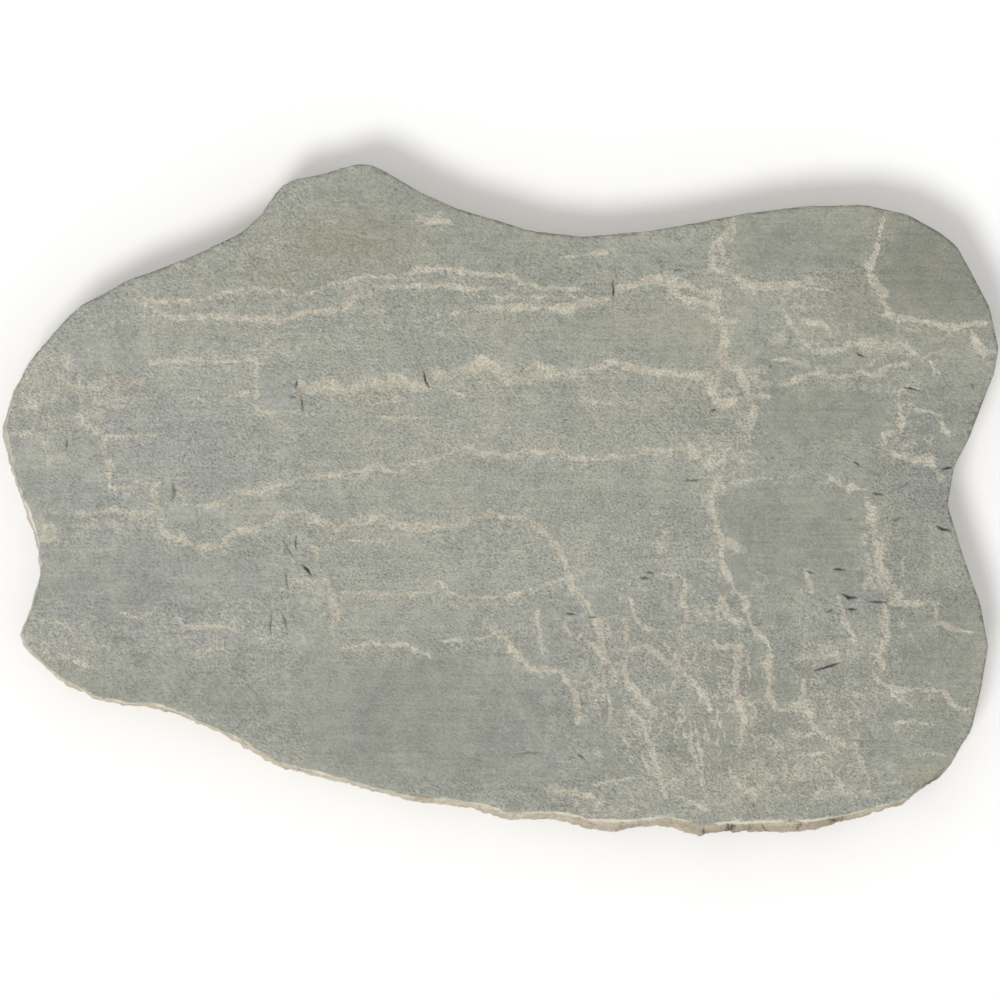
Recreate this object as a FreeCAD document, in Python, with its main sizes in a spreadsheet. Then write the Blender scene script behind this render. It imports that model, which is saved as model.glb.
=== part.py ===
import FreeCAD, Part
import os
import Sketcher

# A garden stepping stone: one slab of sandstone, split along its bedding and pitched to a rough outline.
# Sizes are in millimetres. The origin is the middle of the bed face that lies on the ground.
# +X runs along the length, +Y towards the far edge with the peak, and +Z is up.

NODE = "stepping_stone"

# Driving sizes, each with the words that explain it in the sheet.
SIZES = {
    "stone_length": (457.2, "overall length along X"),
    "stone_width": (308.0, "overall width along Y"),
    "stone_thickness": (32.0, "bed face to the highest cleft plate"),
    "belly_height": (12.0, "height of the widest line of the pitched edge"),
    "foot_setback": (4.0, "edge of the bed face inside the widest line"),
    "shoulder_drop": (7.5, "shoulder line below the highest plate"),
    "shoulder_setback": (0.9, "shoulder line inside the widest line"),
    "arris_setback": (2.4, "upper arris inside the widest line"),
    "corner_drop": (0.8, "step down from the far right plate"),
    "upper_drop": (0.9, "step down along the upper cleft"),
    "long_drop": (1.1, "step down along the long cleft"),
    "middle_drop": (0.7, "step down along the middle cleft"),
    "arch_drop": (0.9, "step down along the arched cleft"),
    "lower_drop": (0.8, "step down to the lower left plate"),
}

# Widest line of the stone, clockwise from the far peak. Each straight stretch is one pitched face.
# An entry is x, y and how strongly the edge leans in there, as a multiple of the setbacks in the sheet.
OUTLINE = [
    (-68, 154.5, 0.6), (-60.5, 154.3, 0.6), (-54, 151.5, 0.6), (-37, 141.5, 0.6), (-20, 134, 0.6),
    (-2, 129, 0.6), (13, 124.5, 0.7), (37, 122, 0.7), (67, 124.5, 0.6), (92, 129, 0.6), (112, 133, 0.6),
    (139, 136.5, 0.6), (168, 137.5, 0.7), (188, 133, 0.7), (203, 124.5, 0.6), (211, 118, 0.6),
    (218, 105, 0.5), (226, 89, 0.4), (230, 70, 0.4), (228, 58.5, 0.4), (223, 46, 0.4),
    (216, 28, 0.4), (209, 15, 0.4), (206, -2.5, 0.3), (210, -15, 0.4), (214, -28, 0.4),
    (221, -47.5, 0.4), (224.5, -67, 0.4), (221, -87, 0.4), (217, -105, 0.6), (207, -122, 1.1),
    (201, -128.5, 1.3), (193, -133, 1.2), (186, -139, 1.1), (164, -145.5, 0.9), (142, -152, 1.6),
    (124, -152, 1.2), (106, -152.5, 1.4), (91, -154, 1.8), (74, -149, 0.7), (54, -152, 1.6),
    (40, -150.5, 1.2), (27, -146.5, 0.6), (2, -146.5, 1.4), (-14, -141, 0.8), (-40, -138.5, 1.0),
    (-62, -133, 0.7), (-80, -128, 0.6), (-100, -124, 1.2), (-111, -118, 1.2), (-131, -106.5, 0.8),
    (-154, -97.5, 0.7), (-162, -95, 0.6), (-170, -95, 0.7), (-185, -93, 0.8), (-202, -84, 0.8),
    (-219, -69, 1.2), (-221.5, -63, 1.3), (-216.5, -51, 1.0), (-212, -35, 0.7), (-214.5, -18.5, 0.8),
    (-221.5, 0, 0.9), (-228, 20, 1.3), (-230, 30.5, 1.4), (-225.5, 47.5, 1.0), (-218, 62, 0.6),
    (-202, 80.5, 0.4), (-193.5, 88.5, 0.4), (-183, 93.8, 0.4), (-172.5, 100, 0.4), (-161.5, 103.8, 0.4),
    (-141, 112, 0.4), (-121, 122, 0.5), (-112, 130, 0.5), (-103.5, 142.7, 0.6), (-97, 147, 0.6),
    (-82.5, 150, 0.6),
]

# Corners well outside the stone, over which the cut of each cleft is closed.
NORTH_WEST = (-260, 180)
FAR_WEST = (-260, 110)
SOUTH_WEST = (-260, -180)
SOUTH_EAST = (260, -180)

# Cleft lines along which a thin bed has split away. The stone is lower on the near, left side of each.
# An entry is the name, the points of the line and the outer corners that close the cut.
CLEFTS = [
    ("corner", [
        (108, 170), (106, 127), (101, 118), (103, 110), (101, 105), (111, 102), (114, 99), (130, 99),
        (145, 101.5), (162, 98), (175, 96), (178, 88), (182, 84.5), (199, 82), (214, 80), (240, 83),
    ], [SOUTH_EAST, SOUTH_WEST, NORTH_WEST]),
    ("upper", [
        (-176, 108), (-166.5, 97), (-161.5, 88), (-153, 84), (-109, 84.5), (-99.5, 82.5), (-89, 87),
        (-72, 90), (-66, 95), (-48, 99), (-18, 98.5), (-11, 91), (27, 88), (41, 92), (61, 98.5), (77, 104),
        (82, 98), (99, 93), (101, 82), (118, 85), (132, 87), (137, 78), (146, 70), (162, 72.5),
        (188, 71.5), (194, 66), (221, 72), (240, 67),
    ], [SOUTH_EAST, SOUTH_WEST, FAR_WEST]),
    ("long", [
        (-232, 71), (-210, 64), (-160, 63.5), (-114, 66), (-111, 41), (-95, 41), (-94, 51), (-72, 51),
        (-64, 55.5), (-48, 56), (-34, 52), (-32.5, 60), (-14, 60.5), (-7, 64.5), (11, 57), (14, 63),
        (21, 59), (48, 64), (60, 60.5), (98, 58), (100, 46), (115, 43.5), (117, 31), (108, 18), (105, 9),
        (136, 11), (153, 11), (161, 6), (174, 8), (181, 20.5), (196, 18.5), (204, 11.5), (220, 7),
    ], [SOUTH_EAST, SOUTH_WEST]),
    ("middle", [
        (-228, -22), (-214, -16.5), (-201, -8), (-178, -4), (-160, -5.5), (-135, -3), (-124, 3), (-93, 10.5),
        (-54, 15), (-47, 12), (-17, 24.5), (-8, 21.5), (22, 22.5), (40, 19), (60, 19), (70, 23),
        (89, 24.5), (98, 22), (102, 16), (98, 11), (98, -5), (102, -17), (114, -23.5), (108, -37),
        (102, -44), (106, -53), (112, -68), (110, -83), (114, -100), (108, -125), (114, -170),
    ], [SOUTH_WEST]),
    ("arch", [
        (-226, -29), (-203, -26), (-176, -21), (-156, -15.5), (-141, -21.5), (-107, -9), (-94, -4),
        (-73, -13.5), (-67, -9), (-53, -8), (-48, -12), (-18, -11.5), (-5, -5.5), (11, -7.5), (22, -15),
        (31, -28), (35, -39), (47, -61), (46, -69), (53, -82), (65, -91), (69, -97), (68, -108),
        (72, -128), (78, -170),
    ], [SOUTH_WEST]),
    ("lower", [
        (-232, -70), (-207, -73.5), (-195, -75), (-171, -69), (-122, -68), (-97, -65), (-73, -68),
        (-58, -65.5), (-43, -66), (-32, -71), (-26, -64.5), (2, -63), (6, -69), (14, -77.5), (28, -80),
        (35.5, -89), (33, -95), (37, -111), (32, -134), (31, -170),
    ], [SOUTH_WEST]),
]


def write_sizes(doc):
    """The sheet that holds every driving size."""
    sheet = doc.addObject("Spreadsheet::Sheet", "Sizes")
    for row, (alias, (value, words)) in enumerate(SIZES.items(), 1):
        sheet.set(f"A{row}", words)
        sheet.set(f"B{row}", str(value))
        sheet.setAlias(f"B{row}", alias)
    doc.recompute()


def outline_box():
    """The box around the widest line as listed above."""
    box = FreeCAD.BoundBox()
    for x, y, lean in OUTLINE:
        box.add(FreeCAD.Vector(x, y, 0))
    return box


def place_rule(x, y, box):
    """Rules that keep a listed point at its place in the outline when the length or width changes."""
    x_share = (x - box.Center.x) / box.XLength
    y_share = (y - box.Center.y) / box.YLength
    return f"Sizes.stone_length * {x_share:.6f}", f"Sizes.stone_width * {y_share:.6f}"


def inward(number):
    """The level unit vector that points into the stone at one outline point."""
    x_before, y_before, lean = OUTLINE[number - 1]
    x_after, y_after, lean = OUTLINE[(number + 1) % len(OUTLINE)]
    return FreeCAD.Vector(y_after - y_before, x_before - x_after, 0).normalize()


def ring_sketch(body, name, height_rule, points, rules):
    """A level closed ring of straight lines, its corners held at the places that the rules give."""
    plane = next(item for item in body.Origin.OriginFeatures if item.Role == "XY_Plane")
    sketch = body.newObject("Sketcher::SketchObject", name)
    sketch.AttachmentSupport = [(plane, "")]
    sketch.MapMode = "FlatFace"
    sketch.setExpression("AttachmentOffset.Base.z", height_rule)
    corners = [FreeCAD.Vector(x, y, 0) for x, y in points]
    count = len(corners)
    sketch.addGeometry([Part.LineSegment(corners[number - 1], corners[number]) for number in range(count)])
    sketch.addConstraint([
        Sketcher.Constraint("Coincident", (number - 1) % count, 2, number, 1)
        for number in range(count)
    ])
    first = len(sketch.Constraints)
    held = []
    for number, corner in enumerate(corners):
        held.append(Sketcher.Constraint("DistanceX", -1, 1, number, 2, corner.x))
        held.append(Sketcher.Constraint("DistanceY", -1, 1, number, 2, corner.y))
    sketch.addConstraint(held)
    for number, (x_rule, y_rule) in enumerate(rules):
        sketch.setExpression(f"Constraints[{first + 2 * number}]", x_rule)
        sketch.setExpression(f"Constraints[{first + 2 * number + 1}]", y_rule)
    return sketch


def edge_sketch(body, name, height_rule, box, setback=None, leaning=True):
    """The widest line, drawn in by a setback from the sheet."""
    rules = []
    for number, (x, y, lean) in enumerate(OUTLINE):
        x_rule, y_rule = place_rule(x, y, box)
        if setback:
            step = inward(number) * (lean if leaning else 1)
            x_rule += f" + Sizes.{setback} * {step.x:.6f}"
            y_rule += f" + Sizes.{setback} * {step.y:.6f}"
        rules.append((x_rule, y_rule))
    return ring_sketch(body, name, height_rule, [(x, y) for x, y, lean in OUTLINE], rules)


def check(doc):
    """Stops the build if any object failed or has no sound shape."""
    for item in doc.Objects:
        if "Invalid" in item.State or "Error" in item.State:
            raise RuntimeError(f"{item.Name} did not build")
        if item.isDerivedFrom("PartDesign::Feature") and (item.Shape.isNull() or not item.Shape.isValid()):
            raise RuntimeError(f"{item.Name} has no sound shape")


doc = FreeCAD.newDocument(NODE)
write_sizes(doc)
body = doc.addObject("PartDesign::Body", NODE)
body.Label = NODE
body.Placement = FreeCAD.Placement()
box = outline_box()

# The slab, lofted from the bed face out to the widest line and back in to the upper arris.
shoulder_height = "Sizes.stone_thickness - Sizes.shoulder_drop"
foot = edge_sketch(body, "foot_line", "0 mm", box, "foot_setback", leaning=False)
belly = edge_sketch(body, "widest_line", "Sizes.belly_height", box)
shoulder = edge_sketch(body, "shoulder_line", shoulder_height, box, "shoulder_setback")
arris = edge_sketch(body, "upper_arris", "Sizes.stone_thickness", box, "arris_setback")
doc.recompute()
slab = body.newObject("PartDesign::AdditiveLoft", "slab")
slab.Profile = foot
slab.Sections = [belly, shoulder, arris]
slab.Ruled = True
doc.recompute()

# The split beds, cut away one below the other down to the lower left plate.
drops = []
for name, line, corners in CLEFTS:
    ring = line + corners
    rules = [place_rule(x, y, box) for x, y in ring]
    sketch = ring_sketch(body, f"{name}_cleft_line", "Sizes.stone_thickness", ring, rules)
    doc.recompute()
    before = body.Shape.Volume
    drops.append(f"Sizes.{name}_drop")
    bed = body.newObject("PartDesign::Pocket", f"{name}_cleft")
    bed.Profile = sketch
    bed.setExpression("Length", " + ".join(drops))
    doc.recompute()
    if body.Shape.Volume >= before:
        raise RuntimeError(f"the {name} cleft cut nothing away")

check(doc)
os.makedirs("parts", exist_ok=True)
body.Shape.exportStep(f"parts/{NODE}.step")
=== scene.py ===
import math

import bmesh
import bpy
import numpy as np
from mathutils import Matrix, Vector
from mathutils.bvhtree import BVHTree
from mathutils.geometry import delaunay_2d_cdt


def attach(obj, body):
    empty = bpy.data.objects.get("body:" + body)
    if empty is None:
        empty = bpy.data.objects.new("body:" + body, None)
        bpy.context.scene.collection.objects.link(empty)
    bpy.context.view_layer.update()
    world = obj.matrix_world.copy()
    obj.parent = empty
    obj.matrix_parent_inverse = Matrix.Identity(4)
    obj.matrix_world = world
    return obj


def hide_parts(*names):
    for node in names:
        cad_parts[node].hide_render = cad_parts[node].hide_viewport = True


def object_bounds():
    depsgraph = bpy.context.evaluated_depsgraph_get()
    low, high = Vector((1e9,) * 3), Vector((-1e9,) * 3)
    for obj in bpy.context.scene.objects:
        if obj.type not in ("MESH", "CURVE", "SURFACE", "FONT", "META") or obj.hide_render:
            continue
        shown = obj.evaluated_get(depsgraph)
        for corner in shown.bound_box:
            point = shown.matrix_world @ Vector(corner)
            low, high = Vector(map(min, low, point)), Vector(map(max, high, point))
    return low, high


# A stepping stone of riven grey-green sandstone, lying on a pale floor and seen almost straight down.
# Lengths are in metres. Places on the cleft face are read off the photograph, in its 1000 pixel frame.

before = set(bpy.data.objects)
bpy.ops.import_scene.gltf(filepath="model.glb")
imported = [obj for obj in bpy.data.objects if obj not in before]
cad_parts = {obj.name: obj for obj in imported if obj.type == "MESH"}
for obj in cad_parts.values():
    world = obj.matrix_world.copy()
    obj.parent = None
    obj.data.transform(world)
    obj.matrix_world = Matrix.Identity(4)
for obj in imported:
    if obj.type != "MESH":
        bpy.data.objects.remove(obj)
cad_low, cad_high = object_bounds()
NODE = "stepping_stone"
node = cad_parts[NODE]

MM = 0.001
IMAGE_SIZE = 1000
SEED = 7

# The photograph's view: where the stone lies in the picture and how far the camera leans off the vertical.
PHOTO_BOX = (1, 165, 999, 836)
LENS = 250.0
SENSOR = 36.0
LEAN_TO_FRONT = math.radians(5.0)
LEAN_TO_LEFT = math.radians(3.0)
CAMERA_ROUNDS = 12

# How far most of the cleft face lies below the stone's highest point.
FACE_DROP = 3 * MM

# Mesh spacing: the cleft face's finest step, which doubles twice away from ridges and cracks, the steps of
# the edge, the height grid and the bed face, and the edge's levels as shares of the way down.
FINE = 0.5 * MM
RING_STEP = 0.95 * MM
RASTER = 0.5 * MM
BED_STEP = 9 * MM
SIDE_LEVELS = (0.05, 0.13, 0.24, 0.37, 0.5, 0.63, 0.76, 0.89, 1.0)

# Cleft edges with cream split faces. A row has the strength, the width in pixels, and then x and y in
# pixels of each point along the line.
FAR_RIDGES = [
    (0.7, 5.5, 139, 300, 146, 304, 157, 311, 170, 318, 191, 317, 209, 315, 228, 318, 250, 317, 272, 319,
     281, 322, 298, 314, 315, 312, 339, 308),
    (0.75, 4.5, 339, 308, 346, 306, 354, 298, 369, 294, 374, 287, 398, 286, 424, 286, 460, 286, 470, 290,
     486, 288),
    (0.57, 4, 140, 295, 144, 300, 163, 302, 191, 301, 207, 298),
    (0.62, 3.5, 207, 298, 224, 293, 241, 289, 259, 288, 270, 291, 281, 289, 287, 295, 304, 296, 320, 290,
     328, 285),
    (0.7, 4, 328, 285, 354, 280, 369, 275, 382, 277, 408, 276, 413, 270, 445, 267, 460, 271, 486, 275,
     514, 276, 521, 284, 538, 288, 581, 289),
    (0.8, 5, 473, 308, 482, 308, 499, 307, 536, 307, 558, 308),
    (0.9, 7, 556, 308, 570, 306, 583, 302, 600, 299, 613, 296),
    (0.75, 6, 661, 279, 670, 288, 677, 296, 690, 301), (0.8, 7, 616, 289, 633, 286, 651, 279, 665, 276),
    (0.85, 11, 662, 277, 675, 278),
    (0.75, 3.5, 675, 284, 688, 286, 701, 291, 712, 290, 719, 291, 717, 301, 710, 304, 692, 299, 677, 295),
    (0.7, 7, 714, 293, 716, 310, 725, 319, 736, 319), (0.62, 5, 710, 314, 714, 321, 734, 322),
    (0.47, 3, 490, 297, 538, 297, 564, 295, 584, 300),
    (0.47, 3, 406, 322, 419, 321, 428, 318, 445, 314, 482, 309), (0.7, 6, 419, 218, 424, 221, 447, 220),
    (0.47, 5, 176, 265, 191, 267), (0.42, 3, 322, 222, 335, 222), (0.52, 4, 560, 258, 585, 254, 612, 252),
]
LEFT_RIDGES = [
    (0.58, 7, 150, 362, 173, 360, 195, 360, 206, 362), (0.62, 3.5, 206, 362, 238, 360, 254, 357, 262, 365),
    (0.7, 4, 258, 365, 257, 384, 258, 406, 260, 413), (0.62, 4, 260, 413, 282, 412, 300, 411),
    (0.52, 4, 191, 397, 208, 400, 225, 399, 241, 393, 254, 393),
    (0.62, 7, 17, 432, 37, 431, 41, 436, 46, 443, 50, 456, 63, 456),
    (0.62, 7, 80, 417, 87, 427, 100, 430, 106, 438), (0.62, 4, 106, 436, 130, 436, 158, 434),
    (0.62, 5, 102, 441, 106, 456, 112, 467, 109, 480, 111, 489, 130, 486, 141, 482, 159, 483),
    (0.8, 6, 154, 486, 155, 503, 160, 514, 160, 529, 169, 534, 184, 538, 195, 547),
    (0.62, 5, 67, 514, 87, 514, 104, 511, 115, 509, 134, 512, 156, 512),
    (0.7, 5, 199, 547, 217, 543, 236, 531, 256, 527, 273, 521, 282, 512, 299, 510),
    (0.52, 6, 13, 403, 28, 405, 43, 403), (0.52, 4, 32, 617, 48, 621, 67, 623, 69, 631),
    (0.52, 4, 119, 612, 139, 617, 152, 612, 156, 607),
    (0.52, 4, 178, 616, 184, 627, 204, 625, 228, 626, 238, 614),
    (0.52, 4, 186, 651, 206, 649, 232, 646, 239, 651),
    (0.57, 5, 43, 660, 54, 657, 67, 655, 78, 662, 93, 665), (0.6, 5, 98, 400, 112, 404, 125, 407),
    (0.55, 5, 27, 412, 34, 420, 40, 427), (0.55, 5, 62, 384, 85, 387, 107, 386),
    (0.5, 7, 178, 484, 184, 494, 186, 502), (0.7, 5, 192, 545, 202, 548, 225, 543),
    (0.6, 6, 296, 508, 308, 516, 318, 524), (0.6, 5, 306, 540, 314, 548, 318, 556),
]
MIDDLE_RIDGES = [
    (0.7, 9, 298, 376, 304, 387, 315, 385, 328, 381, 337, 388, 354, 388),
    (0.85, 8, 300, 388, 322, 387, 343, 389, 362, 386, 380, 385, 398, 385, 412, 386, 426, 387),
    (0.45, 9, 335, 396, 375, 397, 420, 396), (0.7, 9, 360, 380, 380, 379, 398, 378, 410, 383, 425, 386),
    (0.85, 11, 430, 373, 445, 372, 460, 373), (0.9, 13, 460, 373, 470, 365, 482, 362, 492, 366, 500, 371),
    (0.7, 3, 471, 355, 484, 355, 495, 365, 500, 369), (0.8, 9, 488, 374, 505, 376, 528, 380),
    (0.85, 12, 526, 365, 540, 369, 556, 373),
    (0.85, 7, 556, 373, 579, 371, 598, 368, 604, 362, 612, 361, 620, 363, 631, 369, 649, 369, 666, 372,
     682, 375, 703, 375, 718, 378),
    (0.45, 4, 580, 398, 600, 402, 637, 403), (0.8, 8, 712, 379, 713, 392, 721, 403, 734, 399),
    (0.47, 3, 448, 385, 457, 392, 466, 395, 475, 394), (0.52, 3, 374, 412, 378, 417, 408, 417, 440, 417),
    (0.52, 4, 186, 503, 204, 506, 221, 502, 234, 493),
    (0.75, 3, 234, 493, 256, 490, 273, 487, 290, 480, 312, 477, 338, 474, 352, 471, 382, 467, 397, 474),
    (0.62, 2.5, 397, 474, 412, 464, 430, 459, 447, 455, 460, 444),
    (0.85, 3, 460, 444, 473, 448, 482, 453, 511, 454, 520, 452, 559, 451, 573, 457, 597, 459),
    (0.67, 4, 597, 459, 610, 456, 629, 458, 644, 451, 666, 450, 682, 448, 692, 445, 701, 460, 712, 466),
    (0.7, 7, 712, 466, 723, 460, 725, 449),
    (0.9, 6, 299, 510, 311, 514, 320, 520, 330, 524, 341, 529, 352, 521, 369, 519, 384, 518, 393, 525,
     417, 526, 460, 526),
    (0.7, 4, 460, 525, 471, 518, 490, 512, 503, 516, 521, 515, 532, 521),
    (0.75, 5, 532, 521, 545, 532, 558, 545, 565, 558, 568, 571),
    (0.85, 7.5, 568, 571, 573, 584, 581, 597, 591, 612),
    (0.8, 7, 592, 612, 599, 625, 603, 636, 599, 649, 610, 662, 614, 677),
]
NEAR_RIDGES = [
    (0.62, 2.5, 341, 592, 373, 591, 388, 594, 410, 593, 432, 591),
    (0.67, 3, 438, 580, 449, 590, 464, 598, 482, 597, 503, 596, 525, 592, 542, 584, 562, 580, 571, 585),
    (0.64, 3, 341, 647, 373, 642, 393, 645, 406, 643, 417, 649, 430, 655),
    (0.64, 3, 443, 640, 460, 640, 482, 637, 493, 634),
    (0.7, 6, 486, 619, 493, 630, 506, 636, 512, 649, 523, 658, 530, 668, 547, 669, 560, 671),
    (0.7, 5, 560, 670, 567, 679, 573, 690, 579, 694, 577, 709, 579, 724),
    (0.54, 4, 538, 608, 540, 630, 544, 649), (0.7, 6, 325, 579, 331, 589, 333, 600, 338, 613, 334, 630),
    (0.44, 3, 341, 540, 393, 541), (0.64, 3, 575, 612, 567, 619, 566, 628, 572, 635),
    (0.54, 4, 588, 679, 599, 685, 592, 692, 597, 705, 603, 718),
    (0.59, 4, 592, 644, 603, 657, 614, 666, 615, 683), (0.75, 6, 550, 786, 565, 790, 582, 793, 600, 799),
    (0.62, 3, 744, 700, 752, 706, 758, 712), (0.62, 4, 590, 786, 603, 783, 618, 780, 631, 779),
    (0.7, 5, 625, 620, 628, 642, 632, 649, 641, 645), (0.57, 4, 629, 648, 626, 664, 627, 679),
    (0.7, 4.5, 627, 680, 638, 692, 652, 708),
    (0.7, 4.5, 626, 705, 644, 721, 648, 738, 655, 758, 660, 775, 667, 796),
    (0.57, 3.5, 657, 573, 680, 575, 687, 581, 684, 598, 688, 614),
    (0.72, 6, 640, 644, 653, 648, 662, 659, 681, 668, 690, 679, 701, 690, 710, 703, 711, 709),
    (0.67, 5, 716, 640, 716, 646, 733, 646, 742, 644),
    (0.8, 7, 740, 646, 739, 670, 738, 692, 742, 709, 746, 720), (0.59, 5, 746, 720, 742, 735, 741, 748),
    (0.6, 5, 722, 595, 726, 607, 728, 619, 746, 621),
    (0.72, 4.5, 733, 581, 736, 591, 745, 597, 747, 611, 753, 627, 768, 640, 771, 650),
    (0.72, 6, 771, 650, 768, 670, 771, 683, 770, 696, 777, 709),
    (0.59, 4, 777, 709, 794, 709, 801, 700, 805, 687), (0.57, 4, 695, 724, 698, 736, 701, 752, 704, 768),
    (0.49, 4, 675, 724, 677, 744), (0.54, 3, 653, 709, 666, 706),
    (0.72, 5, 730, 768, 733, 776, 740, 785, 753, 791, 755, 802),
    (0.64, 5, 781, 767, 793, 770, 800, 777, 807, 780),
    (0.62, 4, 632, 598, 634, 612, 638, 622, 648, 628, 670, 631), (0.57, 4, 748, 652, 749, 668, 750, 682),
    (0.52, 4, 640, 752, 650, 768, 662, 780), (0.57, 4, 572, 632, 585, 638, 594, 645),
    (0.57, 4, 701, 559, 710, 560, 720, 559), (0.57, 4, 703, 596, 707, 605, 716, 607),
    (0.52, 4, 731, 742, 742, 744), (0.57, 4, 681, 796, 697, 804, 712, 811),
    (0.57, 6, 660, 542, 668, 550, 673, 557), (0.57, 5, 885, 607, 890, 620),
    (0.6, 4, 664, 641, 672, 652, 679, 663), (0.52, 4, 596, 640, 604, 660, 606, 684, 612, 704, 610, 724),
    (0.52, 4, 690, 735, 694, 752, 700, 770), (0.52, 4, 770, 770, 776, 786, 788, 796),
    (0.52, 4, 826, 768, 838, 778, 846, 792), (0.52, 3, 664, 712, 672, 720, 680, 725),
    (0.57, 3.5, 688, 614, 684, 626, 680, 636), (0.47, 3.5, 694, 640, 697, 652, 690, 664),
    (0.47, 3, 719, 605, 720, 622, 718, 638), (0.5, 3.5, 704, 768, 701, 782, 706, 797),
]
RIGHT_RIDGES = [
    (0.7, 7, 732, 219, 732, 228, 725, 236, 718, 241, 723, 254, 727, 262),
    (0.7, 6, 712, 249, 712, 260, 716, 269, 727, 272),
    (0.85, 7, 736, 271, 740, 278, 745, 286, 762, 286, 781, 285, 799, 284),
    (0.7, 9, 799, 283, 812, 281, 816, 277), (0.52, 3, 816, 288, 836, 292),
    (0.75, 9, 725, 332, 723, 351, 727, 366, 742, 371), (0.6, 6, 742, 371, 755, 370, 768, 369),
    (0.7, 12, 690, 446, 702, 456, 712, 470), (0.55, 7, 736, 420, 744, 428, 750, 438),
    (0.85, 10, 740, 370, 747, 386, 749, 394), (0.7, 7, 749, 394, 768, 394),
    (0.62, 5, 747, 373, 758, 382, 771, 384), (0.57, 8, 753, 399, 755, 416, 751, 431, 747, 444),
    (0.7, 7, 723, 468, 718, 483, 712, 492, 711, 505, 716, 520),
    (0.7, 6, 716, 520, 718, 530, 723, 539, 734, 543, 747, 552),
    (0.7, 6, 723, 539, 721, 553, 725, 568, 733, 581),
    (0.5, 5, 883, 219, 879, 234, 878, 249, 870, 267, 870, 275),
    (0.75, 6, 870, 275, 877, 286, 885, 291, 881, 301, 890, 314),
    (0.75, 4.5, 885, 315, 905, 319, 920, 321, 937, 325, 953, 328, 968, 324, 985, 323),
    (0.7, 6, 970, 330, 977, 340, 981, 351, 994, 353), (0.57, 5, 786, 310, 790, 323, 801, 338, 814, 351),
    (0.57, 4, 803, 322, 820, 323, 829, 330, 831, 334),
    (0.7, 6, 816, 351, 846, 349, 853, 344, 868, 341, 883, 346, 907, 346, 914, 353, 924, 359),
    (0.62, 4, 924, 359, 929, 353, 944, 351), (0.57, 4, 771, 360, 781, 359, 794, 362, 807, 364),
    (0.67, 4, 781, 384, 794, 381, 812, 373, 823, 369, 831, 378, 849, 376, 859, 373, 877, 374, 888, 366,
     909, 364),
    (0.62, 5, 931, 362, 935, 369, 940, 375),
    (0.62, 5, 901, 390, 898, 403, 903, 418, 901, 431, 885, 434, 888, 447),
    (0.67, 7, 888, 447, 896, 455, 911, 460, 929, 457, 935, 470, 942, 477),
    (0.52, 4, 909, 408, 931, 412, 942, 416, 944, 429, 950, 436),
    (0.62, 4, 825, 473, 833, 477, 844, 486, 864, 488), (0.47, 3, 729, 481, 758, 479, 799, 475),
    (0.62, 8, 868, 499, 875, 512), (0.7, 10, 873, 508, 876, 525, 875, 541, 881, 563, 888, 580, 897, 598),
    (0.65, 7, 884, 603, 888, 620, 886, 640, 881, 655, 886, 673), (0.57, 5, 890, 603, 915, 602, 942, 604),
    (0.57, 4, 937, 606, 938, 622, 950, 627, 972, 632),
    (0.62, 4, 872, 673, 882, 682, 892, 688, 915, 689, 944, 690),
    (0.62, 4, 944, 690, 950, 700, 957, 709, 972, 709), (0.47, 4, 886, 725, 905, 721, 931, 723),
    (0.47, 3, 916, 755, 933, 753, 948, 756), (0.42, 3, 868, 782, 890, 781, 911, 782),
    (0.62, 5, 840, 598, 844, 616, 850, 630, 856, 639), (0.7, 6, 830, 640, 834, 650, 838, 661),
    (0.5, 5, 816, 644, 826, 652), (0.45, 3, 888, 694, 905, 701, 920, 707),
    (0.45, 4, 903, 555, 903, 580, 900, 602), (0.52, 4, 806, 570, 811, 583, 813, 592),
    (0.62, 5, 805, 679, 804, 692, 803, 705, 811, 713, 814, 726),
    (0.58, 6, 814, 726, 827, 737, 842, 742, 850, 748), (0.52, 4, 761, 733, 775, 739, 781, 746, 790, 748),
    (0.52, 3, 790, 757, 814, 754, 833, 751, 846, 754), (0.47, 4, 785, 731, 798, 735, 816, 733),
    (0.52, 5, 860, 730, 857, 752, 864, 765, 870, 781), (0.55, 6, 870, 700, 875, 715),
    (0.45, 4, 846, 721, 858, 716),
]

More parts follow.
